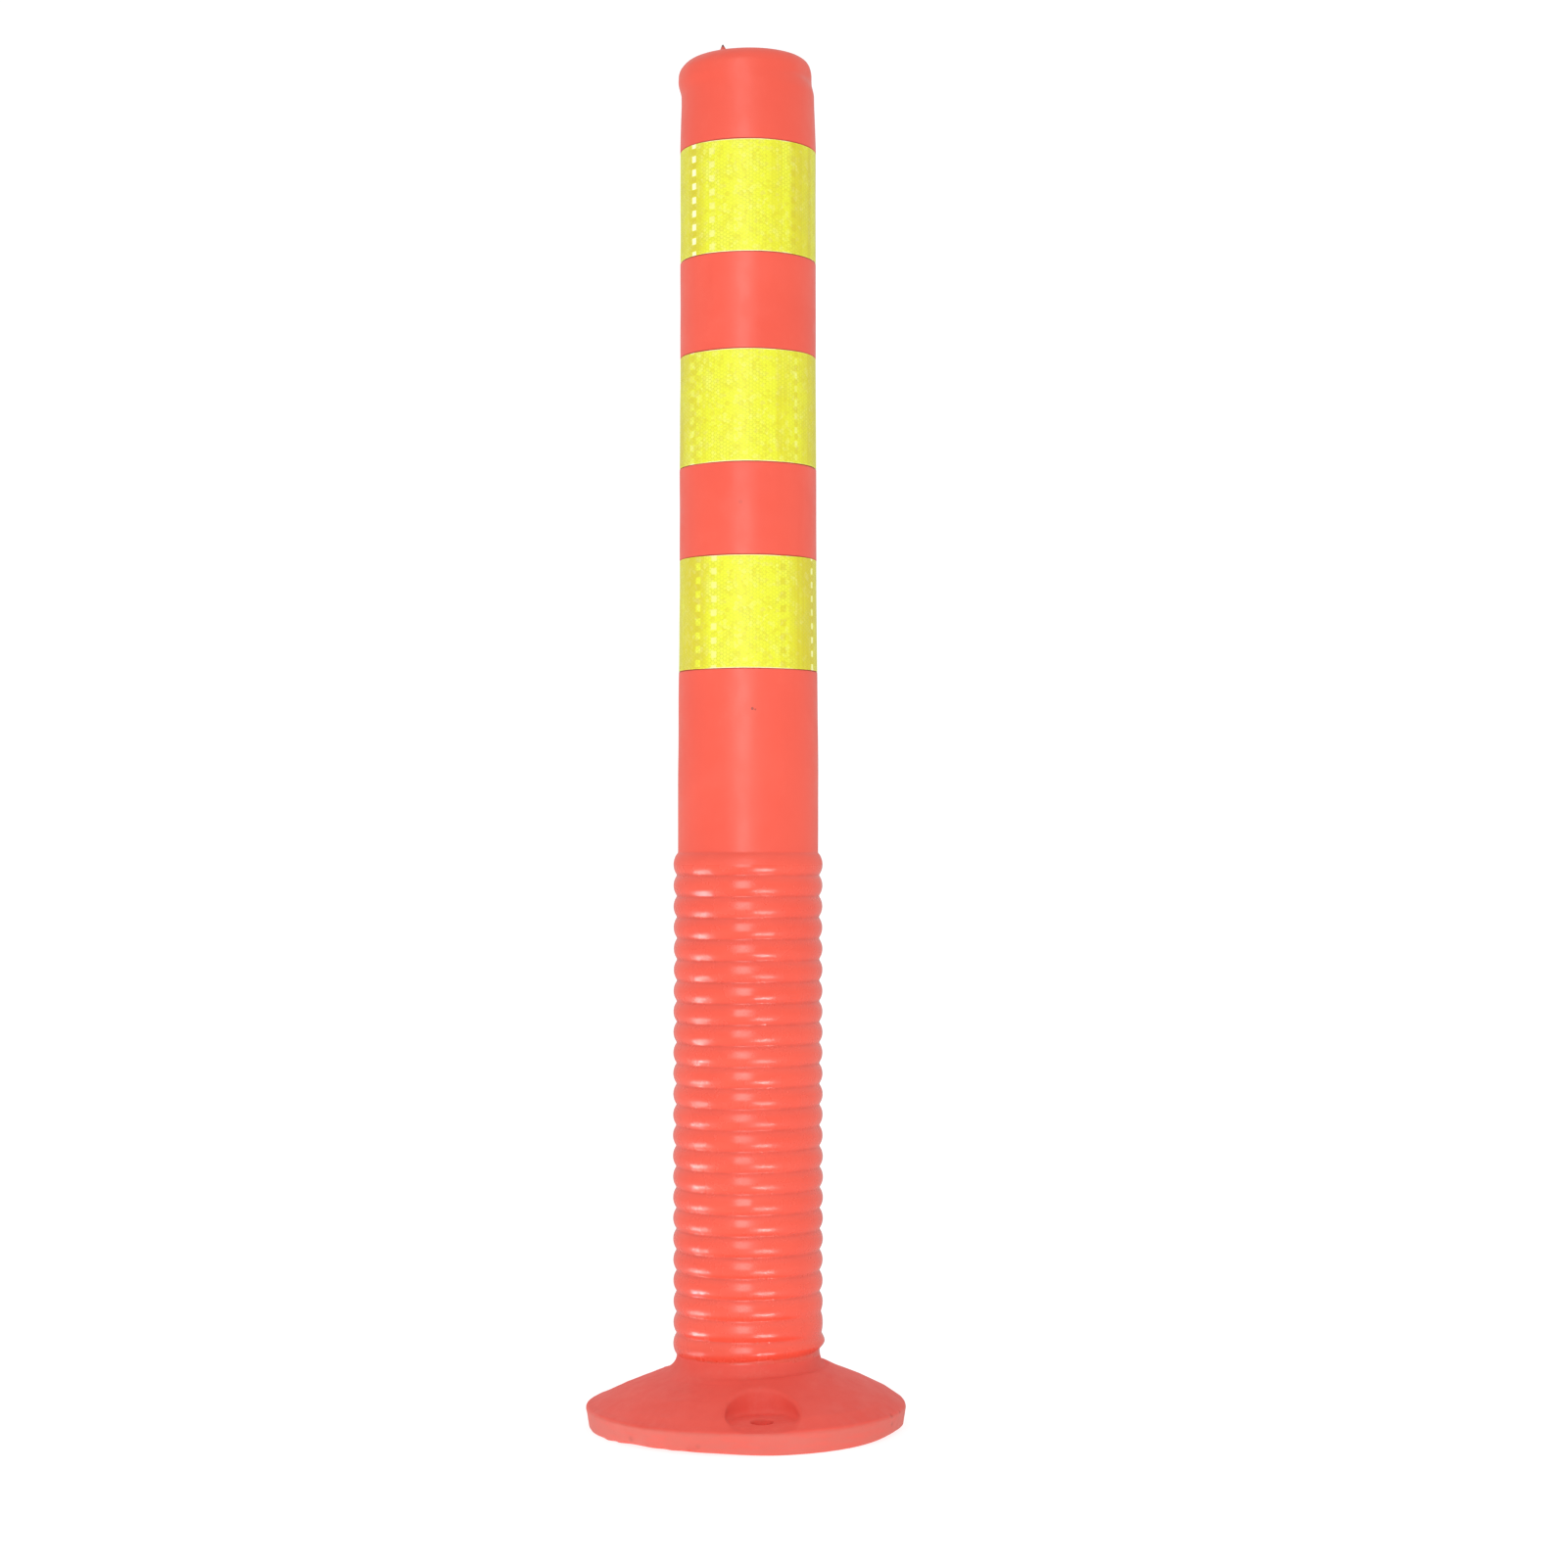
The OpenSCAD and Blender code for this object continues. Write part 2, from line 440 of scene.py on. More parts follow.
@dataclass
class Bench:
    """Lays out shader nodes for one material."""

    name: str

    def __post_init__(self) -> None:
        """Clears a new material and keeps its shader ready."""
        self.material = bpy.data.materials.new(self.name)
        self.material.use_nodes = True
        self.tree = self.material.node_tree
        self.tree.nodes.clear()
        self.out = self.add("ShaderNodeOutputMaterial")
        self.shader = self.add("ShaderNodeBsdfPrincipled")
        self.join(self.shader.outputs["BSDF"], self.out.inputs["Surface"])

    def add(self, kind: str, **settings: object) -> bpy.types.Node:
        """Adds a node and sets its properties.

        Args:
            kind: The node's type.
            settings: Its properties by name.

        Returns:
            The new node.
        """
        node = self.tree.nodes.new(kind)
        for key, value in settings.items():
            setattr(node, key, value)
        return node

    def join(self, source: bpy.types.NodeSocket, target: bpy.types.NodeSocket) -> None:
        """Links an output to an input."""
        self.tree.links.new(source, target)

    def feed(self, socket: bpy.types.NodeSocket, value: object) -> None:
        """Links a socket, or sets its value.

        Args:
            socket: The input to fill.
            value: An output to link, or a plain value.
        """
        if isinstance(value, bpy.types.NodeSocket):
            self.join(value, socket)
        else:
            socket.default_value = value

    def stored(self, name: str, output: str = "Vector") -> bpy.types.NodeSocket:
        """Output of what the mesh stores under a name."""
        node = self.add("ShaderNodeAttribute", attribute_name=name, attribute_type="GEOMETRY")
        return node.outputs[output]

    def maths(self, operation: str, a: object, b: object = 0.0, clamp: bool = False) -> bpy.types.NodeSocket:
        """Result of one operation on two numbers.

        Args:
            operation: Name of the operation.
            a: First number or output.
            b: Second number or output.
            clamp: Whether the result is held between 0 and 1.

        Returns:
            The result's output.
        """
        node = self.add("ShaderNodeMath", operation=operation, use_clamp=clamp)
        self.feed(node.inputs[0], a)
        self.feed(node.inputs[1], b)
        return node.outputs[0]

    def stretch(self, place: bpy.types.NodeSocket, scale: tuple[float, float, float]) -> bpy.types.NodeSocket:
        """Places scaled along each axis.

        Args:
            place: The places to scale.
            scale: One factor for each axis.

        Returns:
            The scaled places.
        """
        node = self.add("ShaderNodeVectorMath", operation="MULTIPLY")
        self.join(place, node.inputs[0])
        node.inputs[1].default_value = scale
        return node.outputs[0]

    def noise(
        self, place: bpy.types.NodeSocket, scale: float, detail: float = 3.0, roughness: float = 0.55
    ) -> bpy.types.NodeSocket:
        """Cloudy noise from 0 to 1.

        Args:
            place: Where the noise is read.
            scale: How fine it is.
            detail: How many finer layers it has.
            roughness: How strong its finer layers are.

        Returns:
            The noise's output.
        """
        node = self.add("ShaderNodeTexNoise")
        self.join(place, node.inputs["Vector"])
        node.inputs["Scale"].default_value = scale
        node.inputs["Detail"].default_value = detail
        node.inputs["Roughness"].default_value = roughness
        return node.outputs["Fac"]

    def span(
        self, value: bpy.types.NodeSocket, low: float, high: float, to_low: float = 0.0, to_high: float = 1.0
    ) -> bpy.types.NodeSocket:
        """Maps one range onto another, and holds at its ends.

        Args:
            value: The number to map.
            low: Start of the range it comes from.
            high: End of the range it comes from.
            to_low: Start of the range it goes to.
            to_high: End of the range it goes to.

        Returns:
            The mapped number.
        """
        node = self.add("ShaderNodeMapRange", interpolation_type="SMOOTHSTEP")
        self.join(value, node.inputs["Value"])
        node.inputs["From Min"].default_value = low
        node.inputs["From Max"].default_value = high
        node.inputs["To Min"].default_value = to_low
        node.inputs["To Max"].default_value = to_high
        return node.outputs["Result"]

    def tint(self, share: object, under: object, over: object) -> bpy.types.NodeSocket:
        """Mixes two colours by a share.

        Args:
            share: How much of the second colour there is.
            under: The first colour.
            over: The second colour.

        Returns:
            The mixed colour.
        """
        node = self.add("ShaderNodeMix", data_type="RGBA")
        self.feed(node.inputs[0], share)
        self.feed(node.inputs[6], under)
        self.feed(node.inputs[7], over)
        return node.outputs[2]

    def near(self, place: bpy.types.NodeSocket, spot: Sequence[float], radius: float) -> bpy.types.NodeSocket:
        """A soft round spot of 1 about a place.

        Args:
            place: Where the spot is read.
            spot: The spot's middle.
            radius: Distance at which it has faded to 0.

        Returns:
            The spot's strength.
        """
        node = self.add("ShaderNodeVectorMath", operation="DISTANCE")
        self.join(place, node.inputs[0])
        node.inputs[1].default_value = spot
        return self.span(node.outputs["Value"], 0.45 * radius, radius, 1.0, 0.0)

    def flecks(self, place: bpy.types.NodeSocket, scale: float, size: float) -> bpy.types.NodeSocket:
        """Sparse specks of 1 strewn at random.

        Args:
            place: Where the specks are read.
            scale: How close together they are.
            size: How wide each is, as a share of its cell.

        Returns:
            The specks' strength.
        """
        cells = self.add("ShaderNodeTexVoronoi", feature="F1")
        self.join(place, cells.inputs["Vector"])
        cells.inputs["Scale"].default_value = scale
        dot = self.span(cells.outputs["Distance"], 0.4 * size, size, 1.0, 0.0)
        split = self.add("ShaderNodeSeparateColor")
        self.join(cells.outputs["Color"], split.inputs["Color"])
        chosen = self.maths("GREATER_THAN", split.outputs["Red"], 0.72)
        return self.maths("MULTIPLY", dot, chosen)

    def bump(
        self, height: bpy.types.NodeSocket, depth: float, under: Optional[bpy.types.NodeSocket] = None
    ) -> bpy.types.NodeSocket:
        """Relief of a given depth on top of another relief.

        Args:
            height: The relief, from 0 to 1.
            depth: Its full depth.
            under: The relief that it lies on.

        Returns:
            The relief for a shader's normal.
        """
        node = self.add("ShaderNodeBump")
        node.inputs["Strength"].default_value = 1.0
        node.inputs["Distance"].default_value = depth
        self.join(height, node.inputs["Height"])
        if under is not None:
            self.join(under, node.inputs["Normal"])
        return node.outputs["Normal"]


@dataclass(frozen=True)
class Speck:
    """One mark on the skin: where it is, how wide it is and how strong."""

    place: tuple[float, float, float]
    radius: float
    strength: float


@dataclass(frozen=True)
class MouldedSkin:
    """Finish of the red moulded polyurethane."""

    name: str
    colour: tuple[float, float, float, float]
    deep: tuple[float, float, float, float]
    chalk: tuple[float, float, float, float]
    roughness: float
    chalkiness: float
    grain_depth: float
    streak_depth: float
    # Painted shade in the ribs' valleys: the radius below which it falls, and its strength.
    valley_shade_radius: float = 0.0
    valley_shade: float = 0.0
    specks: tuple[Speck, ...] = ()
    gloss: float = 0.5
    scuffed: tuple[float, float, float, float] = (0.66, 0.120, 0.090, 1.0)

    def material(self) -> bpy.types.Material:
        """Builds the finish.

        Returns:
            A material with cloudy colour, chalky patches, specks, painted shade in the valleys, painted shade
            and dark marks from a stored share, and a fine moulded grain.
        """
        b = Bench(self.name)
        rest = b.stored(REST)
        cloud = b.span(b.noise(rest, 21.0, 4.0, 0.5), 0.32, 0.68)
        flow = b.noise(b.stretch(rest, (150.0, 150.0, 14.0)), 1.0, 3.0, 0.5)
        colour = b.tint(b.maths("MULTIPLY", cloud, 0.55), self.colour, self.deep)
        colour = b.tint(b.span(flow, 0.5, 0.8, 0.0, 0.22), colour, self.deep)

        patches = b.span(b.noise(rest, 46.0, 6.0, 0.66), 0.50, 0.72)
        fine = b.noise(rest, 700.0, 3.0, 0.6)
        chalk = b.maths("MULTIPLY", patches, b.span(fine, 0.35, 0.7, 0.35, 1.0))
        chalk = b.maths("MULTIPLY", chalk, self.chalkiness, clamp=True)
        colour = b.tint(chalk, colour, self.chalk)
        rubbed = b.span(b.noise(b.stretch(rest, (60.0, 60.0, 260.0)), 1.0, 5.0, 0.6), 0.25, 0.6, 0.55, 1.0)
        colour = b.tint(b.maths("MULTIPLY", b.stored(SCUFF, "Fac"), rubbed), colour, self.scuffed)

        # Painted shade: darkens the skin where its rest radius lies within a little of the valley radius, in the
        # ribs' valleys.
        if self.valley_shade > 0.0:
            flat = b.stretch(rest, (1.0, 1.0, 0.0))
            reach = b.add("ShaderNodeVectorMath", operation="LENGTH")
            b.join(flat, reach.inputs[0])
            low = b.span(reach.outputs["Value"], self.valley_shade_radius, self.valley_shade_radius + 0.9 * MM, 1.0, 0.0)
            low = b.maths("MULTIPLY", low, b.span(b.noise(rest, 120.0, 4.0), 0.3, 0.7, 0.4, 1.0))
            colour = b.tint(b.maths("MULTIPLY", low, self.valley_shade), colour, (0.30, 0.030, 0.022, 1.0))

        dots = b.maths("MULTIPLY", b.flecks(rest, 62.0, 0.022), 0.55)
        for speck in self.specks:
            ragged = b.span(b.noise(rest, 1500.0, 2.0), 0.3, 0.6, 0.35, 1.0)
            mark = b.maths("MULTIPLY", b.near(rest, speck.place, speck.radius), ragged)
            dots = b.maths("MAXIMUM", dots, b.maths("MULTIPLY", mark, speck.strength))
        colour = b.tint(dots, colour, (0.075, 0.018, 0.016, 1.0))
        # Painted shade and dark marks: darkens by the stored share, along the films' groove edges on the tube,
        # in the flange's chips and at two spots on its rim.
        colour = b.tint(b.maths("MULTIPLY", b.stored(SHADE_AND_MARKS, "Fac"), 0.62), colour, (0.16, 0.032, 0.020, 1.0))
        b.join(colour, b.shader.inputs["Base Color"])

        rough = b.span(b.noise(rest, 85.0, 5.0, 0.6), 0.3, 0.7, self.roughness - 0.06, self.roughness + 0.08)
        rough = b.maths("ADD", rough, b.maths("MULTIPLY", chalk, 0.22), clamp=True)
        b.join(rough, b.shader.inputs["Roughness"])
        b.shader.inputs["IOR"].default_value = 1.47
        b.shader.inputs["Specular IOR Level"].default_value = self.gloss
        b.shader.inputs["Sheen Weight"].default_value = 0.05
        b.shader.inputs["Sheen Roughness"].default_value = 0.5

        skin = b.bump(b.noise(rest, 1150.0, 4.0, 0.62), self.grain_depth)
        skin = b.bump(flow, self.streak_depth, skin)
        skin = b.bump(b.noise(rest, 210.0, 3.0, 0.5), 2.2 * self.grain_depth, skin)
        b.join(skin, b.shader.inputs["Normal"])
        return b.material


@dataclass(frozen=True)
class PrismaticFilm:
    """Finish of the fluorescent yellow-green film: honeycomb seals over tiny prisms under a clear face."""

    name: str
    cell: float
    colour: tuple[float, float, float, float] = (0.85, 0.87, 0.030, 1.0)
    bright: tuple[float, float, float, float] = (1.0, 1.0, 0.58, 1.0)
    dull: tuple[float, float, float, float] = (0.70, 0.58, 0.014, 1.0)
    seal: tuple[float, float, float, float] = (0.58, 0.60, 0.02, 1.0)

    def comb(self, b: Bench, place: bpy.types.NodeSocket, cell: float) -> bpy.types.NodeSocket:
        """Sum of three waves: 3 at each cell's middle and -1.5 at its corners.

        Args:
            b: The bench that the film's material is made on.
            place: Places on the flat film.
            cell: Width of one cell.

        Returns:
            The sum's output.
        """
        total: object = 0.0
        for angle in (0.0, 60.0, 120.0):
            k = 2.0 * math.tau / (math.sqrt(3.0) * cell)
            way = (k * math.cos(math.radians(angle)), k * math.sin(math.radians(angle)), 0.0)
            dot = b.add("ShaderNodeVectorMath", operation="DOT_PRODUCT")
            b.join(place, dot.inputs[0])
            dot.inputs[1].default_value = way
            total = b.maths("ADD", b.maths("COSINE", dot.outputs["Value"]), total)
        return total

    def material(self) -> bpy.types.Material:
        """Builds the finish.

        Returns:
            A material whose honeycomb, prism tiles, tones, painted shade and painted glints follow the film as
            it lay flat.
        """
        b = Bench(self.name)
        flat = b.stored(UNROLLED)
        tone = b.stored(TONE_AND_GLINTS, "Fac")
        comb = self.comb(b, flat, self.cell)
        line = b.span(comb, -1.25, -0.55, 1.0, 0.0)
        prisms = self.comb(b, flat, self.cell / 4.0)

        # Stored tone from 0 to 1 runs from dull to plain, and carries painted shade at the film's flanks.
        colour = b.tint(b.span(tone, 0.0, 1.0), self.dull, self.colour)
        haze = b.span(b.noise(flat, 60.0, 4.0, 0.5), 0.45, 0.80, 0.0, 0.10)
        colour = b.tint(haze, colour, self.bright)
        cells = b.add("ShaderNodeTexVoronoi", feature="F1")
        b.join(flat, cells.inputs["Vector"])
        cells.inputs["Scale"].default_value = 1.0 / self.cell
        shade = b.add("ShaderNodeSeparateColor")
        b.join(cells.outputs["Color"], shade.inputs["Color"])
        colour = b.tint(b.span(shade.outputs["Red"], 0.60, 1.0, 0.0, 0.16), colour, self.bright)
        colour = b.tint(b.span(shade.outputs["Green"], 0.50, 1.0, 0.0, 0.38), colour, self.dull)
        colour = b.tint(b.span(prisms, -1.5, 0.6, 0.34, 0.0), colour, self.seal)
        worn = b.span(b.noise(flat, 60.0, 4.0, 0.55), 0.36, 0.62, 0.22, 0.60)
        colour = b.tint(b.maths("MULTIPLY", line, worn), colour, self.seal)
        # Stored tone above 1 paints the bright tile squares, which are painted glints, and the lighter edges.
        colour = b.tint(b.span(tone, 1.0, 2.0), colour, self.bright)
        dirt = b.maths("MULTIPLY", b.flecks(flat, 300.0, 0.10), 0.28)
        colour = b.tint(dirt, colour, (0.30, 0.26, 0.03, 1.0))
        b.join(colour, b.shader.inputs["Base Color"])

        rough = b.span(prisms, -1.5, 3.0, 0.46, 0.26)
        b.join(rough, b.shader.inputs["Roughness"])
        b.shader.inputs["IOR"].default_value = 1.46
        b.shader.inputs["Coat Weight"].default_value = 0.12
        b.shader.inputs["Coat Roughness"].default_value = 0.16
        b.shader.inputs["Coat IOR"].default_value = 1.5

        relief = b.bump(prisms, 0.006 * MM)
        relief = b.bump(comb, 0.020 * MM, relief)
        relief = b.bump(b.noise(flat, 160.0, 3.0), 0.05 * MM, relief)
        b.join(relief, b.shader.inputs["Normal"])
        return b.material


# ---------------------------------------------------------------- flange


@dataclass
class Flange:
    """The round foot: drafted rim, sloping face, hollow neck and three recessed anchor holes."""

    outline: Outline
    skin: MouldedSkin
    rim_h: float = 12.5 * MM
    rim_draft: float = 1.8 * MM
    rim_edge_r: float = 1.8 * MM
    foot_edge_r: float = 0.7 * MM
    slope: float = math.radians(22.5)
    recess_r: float = 19.0 * MM
    recess_floor: float = 13.5 * MM
    recess_draft: float = 0.05
    lip_r: float = 2.0 * MM
    floor_fillet_r: float = 3.0 * MM
    mouth_chamfer: float = 2.0 * MM
    voxel: float = 0.75 * MM
    uneven: Ripple = field(default_factory=lambda: Ripple(seed=5, wavelength=34 * MM))
    pitting: Ripple = field(default_factory=lambda: Ripple(seed=8, wavelength=5.5 * MM, waves=22))

    def anchors(self) -> tuple[list[tuple[float, float]], float]:
        """Axes of the anchor holes and their radius, from the record."""
        record = frame["record"]
        mount = next(m for m in record["mounts"] if m["name"] == "anchor_holes")
        axes = []
        for opening in record["physics"]["openings"]:
            low, high = opening["box_m"]
            axes.append(((low[0] + high[0]) / 2, (low[1] + high[1]) / 2))
        return axes, mount["dims"]["hole_r_mm"] * MM

    def _worn_edge(self, p: np.ndarray) -> np.ndarray:
        """How much the foot's lower edge is broken away at each place.

        Args:
            p: Places as rows of x, y and z.

        Returns:
            One depth for each place.
        """
        turn = np.arctan2(p[:, 0], -p[:, 1])
        ragged = 0.5 + 0.5 * np.sin(turn * 31.0 + 1.4 * np.sin(turn * 13.0))
        left = bell(turn + 0.80, 0.55)
        return (0.5 + 0.9 * ragged) * left * MM

    def _curl(self, p: np.ndarray) -> np.ndarray:
        """How far the underside has curled up off the road at each place near the rim.

        Args:
            p: Places as rows of x, y and z.

        Returns:
            One rise for each place.
        """
        turn = np.arctan2(p[:, 0], -p[:, 1])
        reach = np.hypot(p[:, 0], p[:, 1]) / self.outline.sizes.flange_r
        front_left = smooth_step((0.25 - turn) / 0.5) * smooth_step((turn + 1.1) / 0.4)
        height = 1.1 * MM * front_left + 2.2 * MM * bell(turn - 1.25, 0.38)
        return height * smooth_step((reach - 0.62) / 0.33) * np.clip(1.0 - p[:, 2] / self.rim_h, 0.0, 1.0)

    def distance(self, p: np.ndarray) -> np.ndarray:
        """Distance from the flange's surface.

        Args:
            p: Points as rows of x, y and z.

        Returns:
            One distance for each point, negative inside the material.
        """
        s = self.outline.sizes
        x, y, z = p.T
        r = np.hypot(x, y)
        centre_x = s.valley_r + self.outline.neck_fillet_r
        fillet = self.outline.neck_fillet_r - np.hypot(r - centre_x, z - s.neck_z)
        face = (z - self.rim_h - math.tan(self.slope) * (s.flange_r - r)) * math.cos(self.slope)
        neck_side = (r - centre_x) * math.cos(self.slope) < (z - s.neck_z) * math.sin(self.slope)
        top = np.where(neck_side, fillet, face)
        lean = math.atan2(self.rim_draft, self.rim_h)
        side = (r - s.flange_r + (self.rim_h - z) * math.tan(lean)) * math.cos(lean)
        body = round_max(top, side, self.rim_edge_r)
        body = round_max(body, -z, self.foot_edge_r)
        body = round_max(body, (-z + side) * 0.7071 + self._worn_edge(p), 0.4 * MM)

        axes, hole_r = self.anchors()
        for ax, ay in axes:
            d = np.hypot(x - ax, y - ay)
            wall = d - self.recess_r - (z - self.recess_floor) * self.recess_draft
            pocket = round_max(wall, self.recess_floor - z, self.floor_fillet_r)
            body = round_max(body, -pocket, self.lip_r)
            body = round_max(body, hole_r - d, 0.5 * MM)
        body = np.maximum(body, s.bore_r - r)
        mouth = (s.bore_r + self.mouth_chamfer - r - z) * 0.7071
        body = np.maximum(body, mouth)
        for spot, size, squash in self._nicks():
            q = p - np.asarray(spot)
            q[:, 2] *= squash
            body = round_max(body, size - np.linalg.norm(q, axis=1), 0.25 * MM)
        return body

    def _nicks(self) -> list[tuple[tuple[float, float, float], float, float]]:
        """Small chips in the rim as place, size and flatness."""
        rim = self.outline.sizes.flange_r
        chips = []
        for degrees, height, size, squash in (
            (-19.5, 0.2, 2.6, 0.8),
            (-16.8, 3.4, 1.5, 1.0),
            (-37.0, 1.0, 1.6, 0.6),
            (63.0, 12.6, 1.5, 1.6),
            (71.0, 12.2, 1.1, 1.2),
            (151.0, 0.4, 2.2, 0.8),
            (-118.0, 12.4, 1.7, 1.4),
        ):
            a = math.radians(degrees - 90.0)
            place = (rim * math.cos(a), rim * math.sin(a), height * MM)
            chips.append((place, size * MM, squash))
        return chips

    def _dark_marks(self, p: np.ndarray) -> np.ndarray:
        """Share of darkening at each place: in the chips, and at two spots on the rim's side.

        Args:
            p: Places as rows of x, y and z.

        Returns:
            One share for each place, from 0 to 1.
        """
        rim = self.outline.sizes.flange_r
        spots = [(np.asarray(place), 0.9 * size) for place, size, _ in self._nicks()]
        for degrees, height, width in ((-44.5, 3.2, 1.6), (64.0, 6.5, 1.3)):
            a = math.radians(degrees - 90.0)
            spots.append((np.array([rim * math.cos(a), rim * math.sin(a), height * MM]), width * MM))
        marks = (0.8 * bell(np.linalg.norm(p - place, axis=1), width) for place, width in spots)
        return np.clip(sum(marks), 0.0, 1.0)

    def _project(self, p: np.ndarray, rounds: int = 4) -> np.ndarray:
        """Moves points onto the flange's surface along the distance's slope.

        Args:
            p: Points near the surface.
            rounds: How many times they are moved.

        Returns:
            The points on the surface.
        """
        step = 0.04 * MM
        for _ in range(rounds):
            value = self.distance(p)
            slope = np.empty_like(p)
            for axis in range(3):
                shift = np.zeros(3)
                shift[axis] = step
                slope[:, axis] = (self.distance(p + shift) - self.distance(p - shift)) / (2 * step)
            size = np.maximum((slope**2).sum(axis=1), 0.25)
            p = p - slope * np.clip(value / size, -0.5 * MM, 0.5 * MM)[:, None]
        return p

    def build(self) -> bpy.types.Object:
        """Makes the flange, finished and riding on the foot.

        Returns:
            The flange up to the middle of its hollow neck.
        """
        s = self.outline.sizes
        source = frame["nodes"]["base_flange"].data.copy()
        blank = bpy.data.objects.new("flange_blank", source)
        bpy.context.scene.collection.objects.link(blank)
        remesh = blank.modifiers.new("even_mesh", "REMESH")
        remesh.mode = "VOXEL"
        remesh.voxel_size = self.voxel
        even = blank.evaluated_get(bpy.context.evaluated_depsgraph_get()).to_mesh()
        places = self._project(np.array([v.co for v in even.vertices], float))
        faces = [tuple(f.vertices) for f in even.polygons]
        bpy.data.objects.remove(blank)

        seam = s.crest(0)
        work = bmesh.new()
        verts = [work.verts.new(p) for p in places]
        for face in faces:
            work.faces.new([verts[i] for i in face])
        for height in (seam - SEAM_STRIP, seam):
            geometry = work.verts[:] + work.edges[:] + work.faces[:]
            bmesh.ops.bisect_plane(
                work,
                geom=geometry,
                dist=1e-7,
                plane_co=(0, 0, height),
                plane_no=(0, 0, 1),
                clear_outer=height == seam,
            )
            reach = float(self.outline.radius(height)[0])
            for v in work.verts:
                if abs(v.co.z - height) < 1e-6:
                    now = math.hypot(v.co.x, v.co.y)
                    target = reach if now > (reach + s.bore_r) / 2 else s.bore_r
                    v.co.x *= target / now
                    v.co.y *= target / now
        work.verts.index_update()
        ideal = np.array([v.co for v in work.verts], float)
        faces = [[v.index for v in f.verts] for f in work.faces]
        work.free()

        calm = 1.0 - smooth_step((ideal[:, 2] - 0.55 * s.neck_z) / (0.25 * s.neck_z))
        lift = 0.16 * MM * self.uneven.at(ideal) + 0.035 * MM * self.pitting.at(ideal)
        r = np.hypot(ideal[:, 0], ideal[:, 1])
        upper = smooth_step((ideal[:, 2] - 3 * MM) / (5 * MM))
        rough = ideal.copy()
        rough[:, 2] += lift * calm * upper + self._curl(ideal)
        rough[:, 0] += ideal[:, 0] / r * lift * calm * smooth_step((r - 0.9 * s.flange_r) / (8 * MM))
        rough[:, 1] += ideal[:, 1] / r * lift * calm * smooth_step((r - 0.9 * s.flange_r) / (8 * MM))
        flange = mesh_object("moulded_flange", self.outline.settle(rough), faces)
        outside = smooth_step((r / s.flange_r - 0.955) / 0.025)
        on_rim = outside * (1.0 - smooth_step((ideal[:, 2] - 11.2 * MM) / (1.6 * MM)))
        store_numbers(flange.data, SCUFF, on_rim)
        # Darker in the flange's chips and at two spots on its rim's side.
        store_numbers(flange.data, SHADE_AND_MARKS, self._dark_marks(ideal))
        flange.data.materials.append(self.skin.material())
        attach(flange, "foot")
        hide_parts("base_flange")
        return flange


# ---------------------------------------------------------------- ribbed zone


@dataclass
class RibbedZone:
    """The bending zone, as one fold of skin for each valley, from the crest below it to the crest above."""

    outline: Outline
    skin: MouldedSkin
    neck_skin: MouldedSkin
    columns: int = 192
    rows_a_side: int = 9
    bore_rows: int = 5
    stiff_end: float = 1.6 * MM
    turned_from_above: tuple[int, ...] = (21, 23)

    def _heights(self, k: int) -> np.ndarray:
        """Heights of the skin's rings in a fold, closest in its valley and next to its crests.

        Args:
            k: Number of the rib above the valley.

        Returns:
            The heights from the lower crest to the upper.
        """
        s = self.outline.sizes
        middle = s.valley(k)
        share = np.linspace(0.0, 1.0, self.rows_a_side + 1)[1:-1] ** 1.35
        half = np.concatenate([share * s.pitch / 2, [s.pitch / 2 - SEAM_STRIP, s.pitch / 2]])
        return np.concatenate([middle - half[::-1], [middle], middle + half])

    def fold(self, k: int, materials: Sequence[bpy.types.Material]) -> bpy.types.Object:
        """Makes one fold, which bends between the bodies under and over its valley.

        Args:
            k: Number of the rib above the valley, counted from the road.
            materials: The ribs' finish and the neck's.

        Returns:
            The finished fold.
        """
        s = self.outline.sizes
        heights = self._heights(k)
        outside = turned(list(zip(self.outline.radius(heights), heights)), self.columns)
        low, high = heights[0], heights[-1]
        bore = turned([(s.bore_r, z) for z in np.linspace(low, high, self.bore_rows)], self.columns)
        faces = grid_faces(len(heights), self.columns, 0, Side.OUTSIDE)
        faces += grid_faces(self.bore_rows, self.columns, len(outside), Side.INSIDE)
        places = self.outline.settle(np.concatenate([outside, bore]))
        piece = mesh_object(f"fold_{k:02d}", places, faces)
        for material in materials:
            piece.data.materials.append(material)
        if k == 1:
            below = [1 if f.center.z < s.neck_z - 0.15 * MM and f.index < len(heights) * self.columns else 0
                     for f in piece.data.polygons]
            piece.data.polygons.foreach_set("material_index", below)
        under = "foot" if k == 1 else f"ring_{k - 1:02d}"
        over = "post" if k == s.rib_count else f"ring_{k:02d}"
        foot_end = (0, 0, low + float(self.outline.lift(low)) + self.stiff_end)
        head_end = (0, 0, high + float(self.outline.lift(high)) - self.stiff_end)
        # Measured from below, these folds miss their upper body with both leans at their stops. Found by trial,
        # and it doesn't help the eighteenth fold, which misses either way.
        if k in self.turned_from_above:
            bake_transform(piece, over, under, start=head_end, end=foot_end)
        else:
            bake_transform(piece, under, over, start=foot_end, end=head_end)
        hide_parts(*[f"rib_{n:02d}" for n in (k - 1, k) if n >= 1])
        return piece

    def build(self) -> list[bpy.types.Object]:
        """Makes all the folds, from the road upwards."""
        skin, neck = self.skin.material(), self.neck_skin.material()
        count = self.outline.sizes.rib_count
        return [self.fold(k, (skin, neck) if k == 1 else (skin,)) for k in range(1, count + 1)]


# ---------------------------------------------------------------- upper tube


